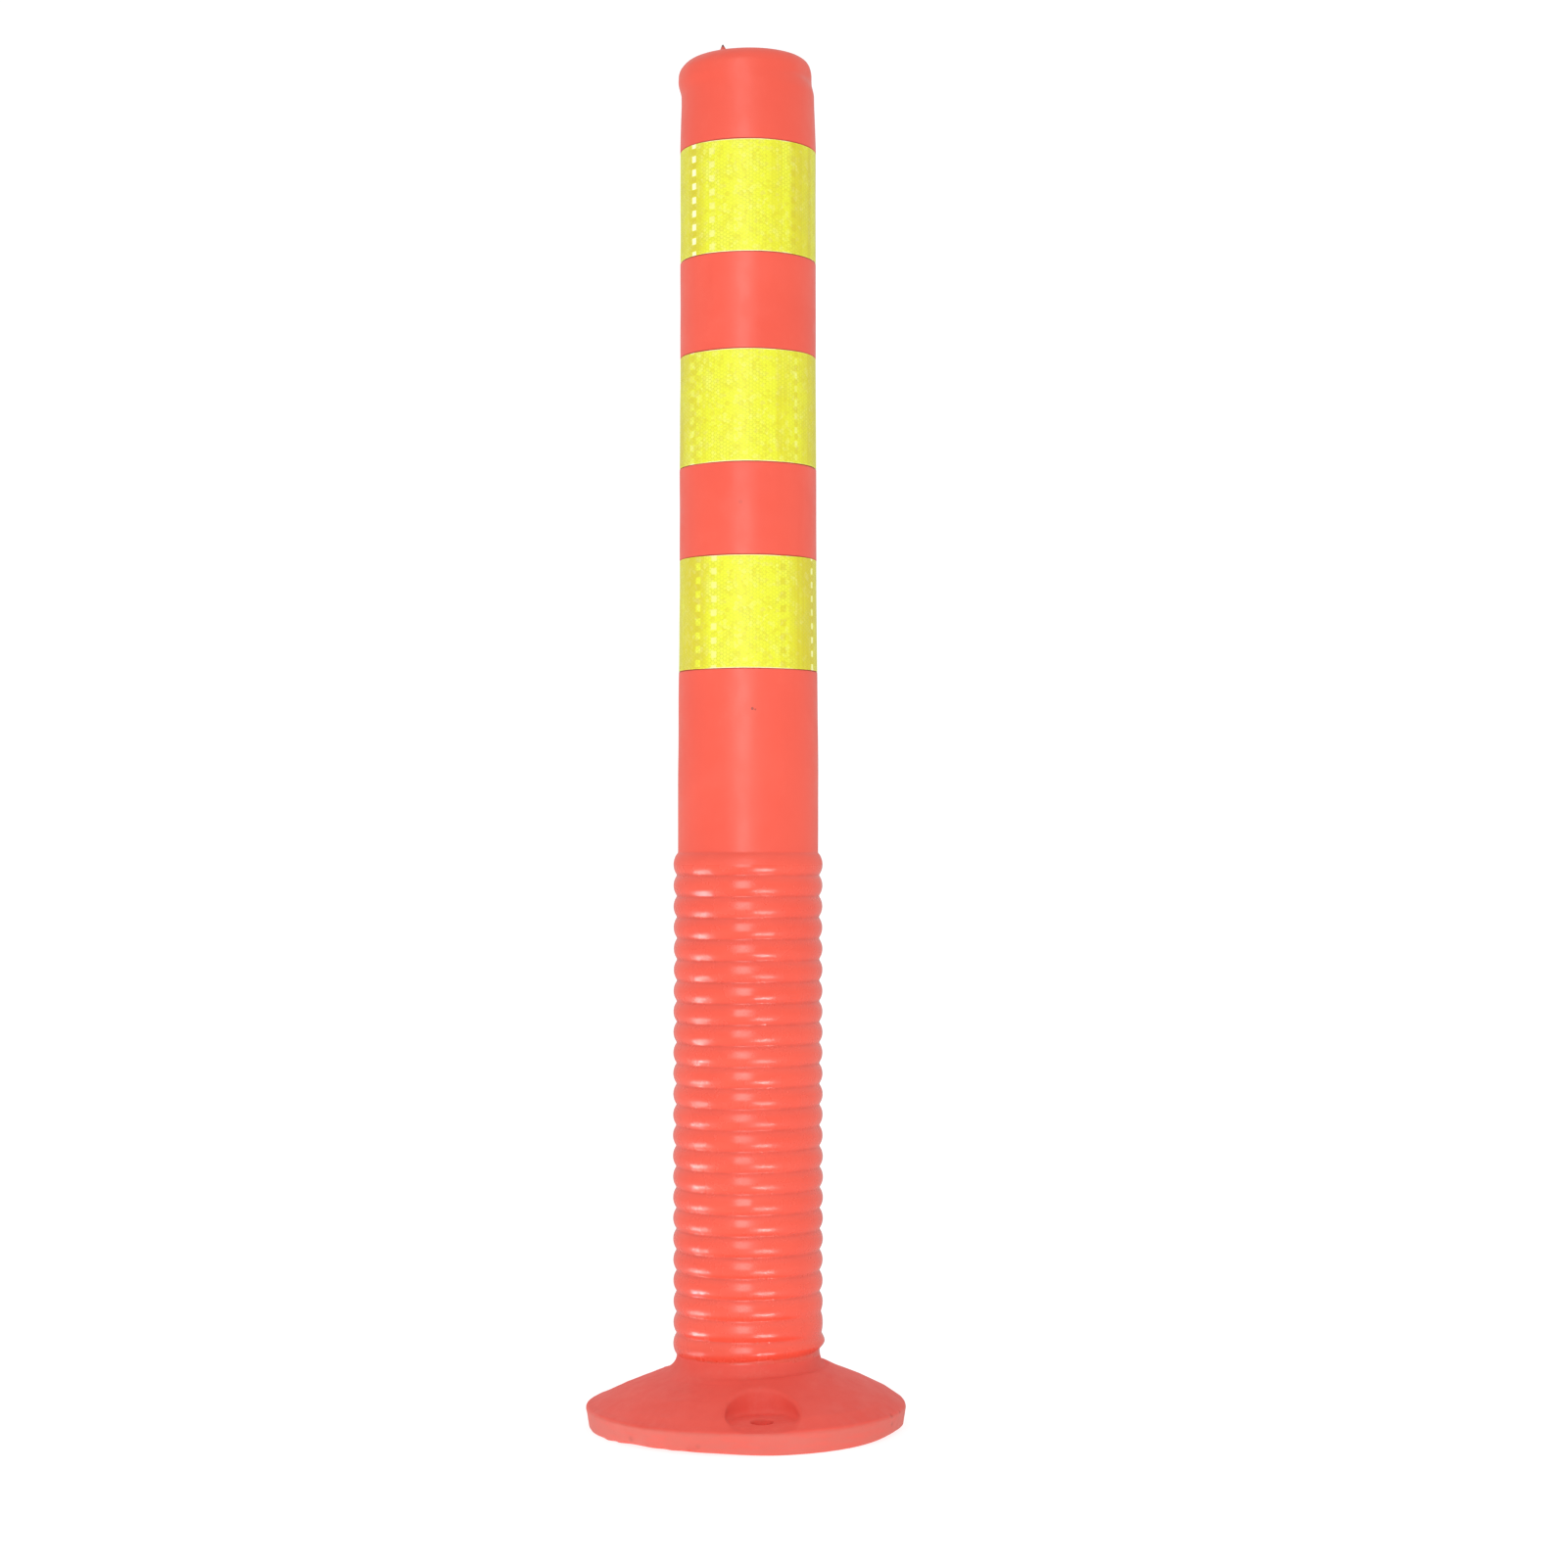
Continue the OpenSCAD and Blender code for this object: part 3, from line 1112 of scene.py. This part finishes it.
@dataclass
class UpperTube:
    """The closed tube above the ribs, with a shallow groove for each film."""

    outline: Outline
    skin: MouldedSkin
    bands: Sequence[str]
    columns: int = 256
    row_step: float = 3.0 * MM
    crown_rise: float = 0.8 * MM
    crown_t: float = 5.0 * MM
    head_wall_t: float = 3.85 * MM
    groove_depth: float = 0.60 * MM
    groove_gap: float = 0.42 * MM
    groove_edge_r: float = 0.12 * MM
    arc_rows: int = 14
    gate: tuple[float, float, float] = (-12.3 * MM, -25.5 * MM, 1.1 * MM)
    gate_height: float = 3.0 * MM
    dent_rows: tuple[float, ...] = (11.0, 12.0, 13.0, 14.0, 15.0, 16.0, 17.0, 18.0, 19.0, 20.5, 22.0)

    def _outside(self) -> list[tuple[float, float]]:
        """Section of the outside, from the highest crest up to the middle of the crown."""
        s = self.outline.sizes
        start = s.crest(s.rib_count)
        edge_z = s.skin[-1][0]
        wanted = {start, start + SEAM_STRIP}
        wanted.update(start + (s.ribs_top - start + 2 * MM) * t for t in np.linspace(0.04, 1.0, 14))
        wanted.update(np.arange(s.ribs_top + 3 * MM, edge_z, self.row_step))
        wanted.update(s.height - h * MM for h in self.dent_rows)
        wanted.add(edge_z)
        grooves = [(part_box(b)[0].z - self.groove_gap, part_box(b)[1].z + self.groove_gap) for b in self.bands]
        e = self.groove_edge_r
        for low, high in grooves:
            wanted = {z for z in wanted if not (low - e < z < high + e)}
        section = [(float(self.outline.radius(z)[0]), z) for z in wanted]
        for low, high in grooves:
            for z, inward in ((low, 1.0), (high, -1.0)):
                r = float(self.outline.radius(z)[0])
                section += [(r, z - inward * 6 * e), (r, z - inward * e), (r - 0.3 * e, z - inward * 0.3 * e)]
                section += [(r - e, z), (r - self.groove_depth, z + inward * 0.02 * MM)]
                section += [(r - self.groove_depth, z + inward * 1.5 * MM)]
        section.sort(key=lambda pair: pair[1])
        head_r = s.skin[-1][1]
        edge_r = self.outline.edge_r
        for a in np.linspace(0.0, math.pi / 2, self.arc_rows + 1)[1:]:
            rise = s.height - self.crown_rise - edge_z
            section.append((head_r - edge_r + edge_r * math.cos(a), edge_z + rise * math.sin(a)))
        flat_r = head_r - edge_r
        for t in np.linspace(1.0, 0.0, 14)[1:]:
            r = max(flat_r * t, 0.25 * MM)
            section.append((r, s.height - self.crown_rise * (r / flat_r) ** 2))
        return section

    def _inside(self) -> list[tuple[float, float]]:
        """Section of the blind bore, from the highest crest up to the underside of the crown."""
        s = self.outline.sizes
        top = s.height - self.crown_t
        head_r = s.skin[-1][1] - self.head_wall_t
        edge_r = self.outline.edge_r - self.head_wall_t
        section = [(s.bore_r, s.crest(s.rib_count)), (s.bore_r, s.ribs_top)]
        for t in np.linspace(0.0, 1.0, 10)[1:]:
            section.append((s.bore_r + (head_r - s.bore_r) * t, s.ribs_top + (top - edge_r - s.ribs_top) * t))
        for a in np.linspace(0.0, math.pi / 2, 7)[1:]:
            section.append((head_r - edge_r + edge_r * math.cos(a), top - edge_r + edge_r * math.sin(a)))
        section += [((head_r - edge_r) * t, top) for t in (0.6, 0.25)] + [(0.25 * MM, top)]
        return section

    def _groove_edge_shade(self, heights: np.ndarray) -> np.ndarray:
        """Share of painted shade along the films' edges at each height, where the grooves' walls fall in shade.
        """
        edges = [z for band in self.bands for z in (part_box(band)[0].z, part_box(band)[1].z)]
        return np.clip(sum(bell(heights - z, 0.9 * self.groove_gap) for z in edges), 0.0, 1.0)

    def _gate_mark(self, places: np.ndarray) -> np.ndarray:
        """Raises the trimmed stub of the casting gate on the crown.

        Args:
            places: Points of the tube as rows of x, y and z.

        Returns:
            The points with the stub raised.
        """
        x, y, width = self.gate
        d = np.hypot(places[:, 0] - x, places[:, 1] - y)
        on_top = smooth_step((places[:, 2] - (self.outline.sizes.height - 4 * MM)) / (2 * MM))
        out = places.copy()
        out[:, 2] += self.gate_height * np.exp(-((d / width) ** 4)) * on_top
        return out

    def build(self) -> bpy.types.Object:
        """Makes the tube, finished and riding on the post.

        Returns:
            The tube from the highest crest to the crown.
        """
        outside, inside = self._outside(), self._inside()
        skin = self._gate_mark(turned(outside, self.columns))
        bore = turned(inside, self.columns)
        faces = grid_faces(len(outside), self.columns, 0, Side.OUTSIDE)
        faces += grid_faces(len(inside), self.columns, len(skin), Side.INSIDE)
        last_out = (len(outside) - 1) * self.columns
        last_in = len(skin) + (len(inside) - 1) * self.columns
        faces.append(tuple(range(last_out, last_out + self.columns)))
        faces.append(tuple(range(last_in, last_in + self.columns))[::-1])
        places = self.outline.settle(np.concatenate([skin, bore]))
        tube = mesh_object("closed_tube", places, faces)
        # Painted shade along the films' groove edges.
        store_numbers(tube.data, SHADE_AND_MARKS, self._groove_edge_shade(np.concatenate([skin, bore])[:, 2]))
        tube.data.materials.append(self.skin.material())
        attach(tube, "post")
        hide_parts("upper_tube", f"rib_{self.outline.sizes.rib_count:02d}")
        return tube


# ---------------------------------------------------------------- reflective films


@dataclass(frozen=True)
class GlintColumn:
    """One upright row of prism tiles that differ from the film around them: painted glints where its tone is
    positive, duller squares where it is negative.
    """

    along: float
    tone: float
    width: float = 3.7 * MM
    phase: float = 0.0


@dataclass
class FilmWrap:
    """One film wound once round the tube, with its ends lapped at the back."""

    outline: Outline
    node: str
    finish: PrismaticFilm
    tiles: Sequence[GlintColumn]
    seed: int
    lap: float = 7.0 * MM
    lap_turn: float = math.radians(84.0)
    sink: float = 0.04 * MM
    thickness: float = 0.35 * MM
    edge_ease: float = 0.10 * MM
    around: int = 500
    rows: int = 124
    tile_pitch: float = 7.5 * MM
    zone_pitch: float = 78.0 * MM
    relief: float = 0.035 * MM

    def _comb(self, u: np.ndarray, v: np.ndarray) -> np.ndarray:
        """The honeycomb's relief at places on the flat film, from 0 on its lines to 1 in its cells.

        Args:
            u: Distance round the film.
            v: Height on the film.

        Returns:
            The relief at each place.
        """
        k = 2.0 * math.tau / (math.sqrt(3.0) * self.finish.cell)
        ways = (0.0, math.radians(60), math.radians(120))
        total = sum(np.cos(k * (u * math.cos(a) + v * math.sin(a))) for a in ways)
        return smooth_step((total + 1.5) / 2.2)

    def _tone_and_glints(self, u: np.ndarray, v: np.ndarray) -> np.ndarray:
        """Tone of the film at places on the flat film, with painted shade and painted glints: 0 dull, 1 plain
        and 2 bright.

        Args:
            u: Distance round the film.
            v: Height on the film.

        Returns:
            The tone at each place.
        """
        draw = np.random.default_rng(self.seed)
        # Painted shade: the tone is highest facing -Y and again every zone pitch round the film, and dull
        # halfway between, at the flanks seen from the front.
        zone = 0.5 + 0.5 * np.cos(u * math.tau / self.zone_pitch)
        tone = 0.30 + 0.90 * smooth_step(zone * 1.7)
        for _ in range(26):
            middle, width = draw.uniform(u.min(), u.max()), draw.uniform(3, 13) * MM
            tone += draw.uniform(-0.30, 0.26) * smooth_step((width - np.abs(u - middle)) / (0.9 * MM))
        for _ in range(90):
            cu, cv = draw.uniform(u.min(), u.max()), draw.uniform(v.min(), v.max())
            size = draw.uniform(2.5, 8) * MM
            tone += draw.uniform(-0.16, 0.20) * np.exp(-(((u - cu) / size) ** 2 + ((v - cv) / size) ** 2))
        tone = np.clip(tone, 0.0, 1.0)
        # Painted glints: squares up each column with a positive tone are brightened, as prisms catching the
        # light; a negative tone dulls them.
        for tile in self.tiles:
            across = smooth_step((tile.width / 2 - np.abs(u - tile.along)) / (0.35 * MM) + 0.5)
            up = (v / self.tile_pitch + tile.phase) % 1.0
            square = smooth_step((0.25 - np.abs(up - 0.5)) * self.tile_pitch / (0.5 * MM) + 0.5)
            tone += across * (square * tile.tone - (1.0 - square) * 0.22 * abs(tile.tone))
        from_edge = np.minimum(v - v.min(), v.max() - v)
        tone += 0.9 * (1.0 - smooth_step(from_edge / (0.7 * MM)))
        return np.clip(tone, 0.0, 2.0)

    def build(self) -> bpy.types.Object:
        """Makes the film, finished and riding on the post.

        Returns:
            The film as a thin closed solid.
        """
        low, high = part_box(self.node)
        r_mid = float(self.outline.radius((low.z + high.z) / 2)[0])
        full = math.tau + self.lap / r_mid
        turn = np.linspace(0.0, full, self.around)
        angles = self.lap_turn + turn
        draw = np.random.default_rng(self.seed)
        inner = np.linspace(low.z + self.edge_ease, high.z - self.edge_ease, self.rows - 4)
        lower, upper = [low.z, low.z + 0.3 * self.edge_ease], [high.z - 0.3 * self.edge_ease, high.z]
        heights = np.concatenate([lower, inner, upper])
        eased = np.zeros_like(heights)
        eased[[0, -1]], eased[[1, -2]] = self.edge_ease, 0.3 * self.edge_ease
        back = np.array([high.z, low.z])
        v_all = np.concatenate([heights, back])
        depth = np.concatenate([eased, [self.thickness, self.thickness]])
        vv, tt = np.meshgrid(v_all, turn, indexing="ij")
        dd = np.broadcast_to(depth[:, None], vv.shape)
        front = dd < 0.5 * self.thickness
        wander = 0.12 * MM * np.sin(tt * 2.0 + draw.uniform(0, 6))
        wander = wander + 0.07 * MM * np.sin(tt * 5.0 + draw.uniform(0, 6))
        u = (self.lap_turn + tt - math.pi * 1.5) * r_mid
        v = vv - low.z
        skin_r = np.interp(vv, heights, self.outline.radius(heights))
        lapped = smooth_step((tt - math.tau + 1.2 * MM / r_mid) / (1.2 * MM / r_mid))
        radius = skin_r - self.sink - dd + lapped * (self.thickness + 0.03 * MM)
        radius = radius + np.where(front, self.relief * (self._comb(u, v) - 1.0), 0.0)
        ang = self.lap_turn + tt
        places = np.stack([radius * np.cos(ang), radius * np.sin(ang), vv + wander], axis=2).reshape(-1, 3)
        columns, count = len(angles), len(v_all)
        faces = grid_faces(count, columns, 0, Side.OUTSIDE, closed=False)
        top = (count - 1) * columns
        faces += [(top + j, top + j + 1, j + 1, j) for j in range(columns - 1)]
        faces.append(tuple(i * columns for i in range(count)))
        faces.append(tuple(i * columns + columns - 1 for i in range(count))[::-1])
        film = mesh_object(f"film_{self.node.rsplit('_', 1)[-1]}", self.outline.settle(places), faces)
        store_vectors(film.data, UNROLLED, np.stack([u, v, np.zeros_like(u)], axis=2).reshape(-1, 3))
        store_numbers(film.data, TONE_AND_GLINTS, self._tone_and_glints(u, v).ravel())
        film.data.materials.append(self.finish.material())
        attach(film, "post")
        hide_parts(self.node)
        return film


# ---------------------------------------------------------------- studio


@dataclass(frozen=True)
class Softbox:
    """One rectangular studio light, aimed at a point on the post."""

    name: str
    azimuth: float
    elevation: float
    distance: float
    width: float
    height: float
    power: float
    aim_z: float = 0.40


@dataclass
class Studio:
    """Pale floor that sweeps up into a backdrop, soft lights and the camera."""

    distance: float = 1.580
    camera_z: float = 0.301
    pitch: float = math.radians(1.78)
    lens: float = 66.0
    sensor: float = 36.0
    shift_x: float = 0.0230
    horizon_light: float = 0.47
    overhead_light: float = 0.90
    paper_glow: float = 0.82
    softboxes: tuple[Softbox, ...] = (
        Softbox("front_strip", -8.0, 6.0, 2.6, 1.05, 2.4, 22.0),
        Softbox("table_box_right", 27.0, -34.0, 1.8, 0.78, 0.38, 7.0, 0.20),
        Softbox("table_box_left", -90.0, -34.0, 1.8, 0.95, 0.40, 8.0, 0.20),
    )

    def floor(self) -> None:
        """Makes the pale floor and its sweep."""
        half, reach, bend = 6.0, 2.6, 1.4
        profile = [(-5.0, 0.0), (reach, 0.0)]
        for a in np.linspace(0.0, math.pi / 2, 15)[1:]:
            profile.append((reach + bend * math.sin(a), bend * (1 - math.cos(a))))
        profile.append((reach + bend, 5.0))
        places = [(x, y, z) for y, z in profile for x in (-half, half)]
        faces = [(2 * i, 2 * i + 1, 2 * i + 3, 2 * i + 2) for i in range(len(profile) - 1)]
        sweep = mesh_object("floor_sweep", np.array(places, float), faces)
        b = Bench("pale_paper")
        rest = b.stored(REST)
        clouds = b.span(b.noise(rest, 3.0, 3.0), 0.3, 0.7)
        shade = b.tint(clouds, (0.26, 0.26, 0.26, 1.0), (0.29, 0.29, 0.29, 1.0))
        b.join(shade, b.shader.inputs["Base Color"])
        b.shader.inputs["Roughness"].default_value = 0.9
        b.shader.inputs["Specular IOR Level"].default_value = 0.2
        b.shader.inputs["Emission Color"].default_value = (1.0, 1.0, 1.0, 1.0)
        b.shader.inputs["Emission Strength"].default_value = self.paper_glow
        sweep.data.materials.append(b.material)
        sweep.visible_shadow = False
        sweep.visible_glossy = False

    def backdrop(self) -> None:
        """Stands plain white paper all round the studio, which only the camera sees."""
        radius, low, high, columns = 7.0, -1.5, 8.0, 64
        places = turned([(radius, low), (radius, high)], columns)
        wall = mesh_object("white_surround", places, grid_faces(2, columns, 0, Side.INSIDE))
        b = Bench("white_surround")
        b.shader.inputs["Base Color"].default_value = (0.95, 0.95, 0.95, 1.0)
        b.shader.inputs["Emission Color"].default_value = (1.0, 1.0, 1.0, 1.0)
        b.shader.inputs["Emission Strength"].default_value = 1.0
        wall.data.materials.append(b.material)
        wall.visible_diffuse = wall.visible_glossy = wall.visible_shadow = wall.visible_transmission = False

    def lights(self) -> None:
        """Hangs the softboxes and sets the room's even light."""
        scene = bpy.context.scene
        room = bpy.data.worlds.new("studio_room")
        room.use_nodes = True
        tree = room.node_tree
        way = tree.nodes.new("ShaderNodeTexCoord")
        split = tree.nodes.new("ShaderNodeSeparateXYZ")
        fall = tree.nodes.new("ShaderNodeMapRange")
        tree.links.new(way.outputs["Generated"], split.inputs["Vector"])
        tree.links.new(split.outputs["Z"], fall.inputs["Value"])
        fall.inputs["To Min"].default_value = self.horizon_light
        fall.inputs["To Max"].default_value = self.overhead_light
        tree.links.new(fall.outputs["Result"], tree.nodes["Background"].inputs["Strength"])
        tree.nodes["Background"].inputs["Color"].default_value = (1.0, 1.0, 1.0, 1.0)
        scene.world = room
        for box in self.softboxes:
            lamp = bpy.data.lights.new(box.name, "AREA")
            lamp.shape = "RECTANGLE"
            lamp.size, lamp.size_y = box.width, box.height
            lamp.energy = box.power
            lamp.cycles.use_multiple_importance_sampling = box.elevation > 0.0
            holder = bpy.data.objects.new(box.name, lamp)
            scene.collection.objects.link(holder)
            a, e = math.radians(box.azimuth), math.radians(box.elevation)
            way = np.array([math.sin(a) * math.cos(e), -math.cos(a) * math.cos(e), math.sin(e)])
            place = way * box.distance + np.array([0.0, 0.0, box.aim_z])
            holder.location = place
            holder.rotation_mode = "QUATERNION"
            holder.rotation_quaternion = _facing(-way)

    def camera(self) -> None:
        """Sets the camera on its tripod in front of the post."""
        scene = bpy.context.scene
        data = bpy.data.cameras.new("studio_camera")
        data.lens, data.sensor_width = self.lens, self.sensor
        data.shift_x = self.shift_x
        data.clip_start, data.clip_end = 0.05, 60.0
        holder = bpy.data.objects.new("studio_camera", data)
        scene.collection.objects.link(holder)
        holder.location = (0.0, -self.distance, self.camera_z)
        holder.rotation_euler = (math.pi / 2 + self.pitch, 0.0, 0.0)
        scene.camera = holder
        scene.view_settings.view_transform = "Standard"
        scene.view_settings.look = "None"

    def build(self) -> None:
        """Sets up the floor, the lights and the camera."""
        self.floor()
        self.backdrop()
        self.lights()
        self.camera()


def _facing(way: np.ndarray) -> Quaternion:
    """Rotation that points a light along a direction."""
    return Vector(way).to_track_quat("-Z", "Y")


# ---------------------------------------------------------------- the post


def main() -> None:
    """Builds the post from the road upwards, then the studio round it."""
    logging.basicConfig(level=logging.INFO, format="%(name)s: %(message)s")
    sizes = PostSizes.from_frame()
    outline = Outline(sizes)
    flange_skin = MouldedSkin(
        name="flange_polyurethane",
        colour=(0.84, 0.094, 0.064, 1.0),
        deep=(0.76, 0.068, 0.045, 1.0),
        chalk=(0.88, 0.25, 0.20, 1.0),
        roughness=0.62,
        chalkiness=0.20,
        grain_depth=0.040 * MM,
        streak_depth=0.03 * MM,
    )
    rib_skin = MouldedSkin(
        name="rib_polyurethane",
        colour=(0.86, 0.093, 0.050, 1.0),
        deep=(0.80, 0.068, 0.034, 1.0),
        chalk=(0.93, 0.22, 0.15, 1.0),
        roughness=0.25,
        chalkiness=0.03,
        grain_depth=0.004 * MM,
        streak_depth=0.010 * MM,
        valley_shade_radius=sizes.valley_r + 0.1 * MM,
        valley_shade=0.22,
        gloss=0.9,
    )
    tube_skin = MouldedSkin(
        name="tube_polyurethane",
        colour=(0.85, 0.093, 0.052, 1.0),
        deep=(0.80, 0.073, 0.038, 1.0),
        chalk=(0.93, 0.20, 0.14, 1.0),
        roughness=0.41,
        chalkiness=0.12,
        grain_depth=0.012 * MM,
        streak_depth=0.025 * MM,
        gloss=0.75,
        specks=(
            Speck((0.0024, -0.0382, 0.3895), 0.0011, 0.75),
            Speck((0.0040, -0.0381, 0.3890), 0.0008, 0.55),
            Speck((-0.0040, -0.0374, 0.5010), 0.0016, 0.18),
            Speck((-0.01355, -0.0255, 0.7525), 0.0022, 0.9),
        ),
    )
    flange = Flange(outline, flange_skin).build()
    log.info("%s: %d vertices", flange.name, len(flange.data.vertices))
    for fold in RibbedZone(outline, rib_skin, flange_skin).build():
        log.info("%s: between %s", fold.name, ", ".join(fold["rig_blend"]))
    bands = ("reflective_band_lower", "reflective_band_middle", "reflective_band_upper")
    tube = UpperTube(outline, tube_skin, bands).build()
    log.info("%s: %d vertices", tube.name, len(tube.data.vertices))
    tiles = {
        "reflective_band_lower": (
            GlintColumn(-30.5 * MM, 0.70, phase=0.1),
            GlintColumn(-19.5 * MM, 0.40, phase=0.5),
            GlintColumn(20.1 * MM, -0.60, phase=0.2),
            GlintColumn(44.6 * MM, 1.5, 2.8 * MM, phase=0.3),
            GlintColumn(-70.0 * MM, -0.4),
            GlintColumn(95.0 * MM, 0.6),
        ),
        "reflective_band_middle": (
            GlintColumn(-35.3 * MM, 0.62, phase=0.3),
            GlintColumn(-29.4 * MM, 0.45, phase=0.8),
            GlintColumn(29.1 * MM, 0.70, 2.4 * MM, phase=0.1),
            GlintColumn(79.0 * MM, 0.5),
            GlintColumn(-84.0 * MM, -0.4),
        ),
        "reflective_band_upper": (
            GlintColumn(-33.8 * MM, 1.7, 3.7 * MM, phase=0.45),
            GlintColumn(-20.5 * MM, 0.35, phase=0.1),
            GlintColumn(27.0 * MM, -0.35, phase=0.6),
            GlintColumn(66.0 * MM, 0.6),
            GlintColumn(-80.0 * MM, 0.5),
        ),
    }
    for number, band in enumerate(bands):
        finish = PrismaticFilm(name=f"prismatic_film_{band.rsplit('_', 1)[-1]}", cell=2.1 * MM)
        film = FilmWrap(outline, band, finish, tiles[band], seed=40 + number).build()
        log.info("%s: %d vertices", film.name, len(film.data.vertices))
    Studio().build()


if __name__ == "__main__":
    main()
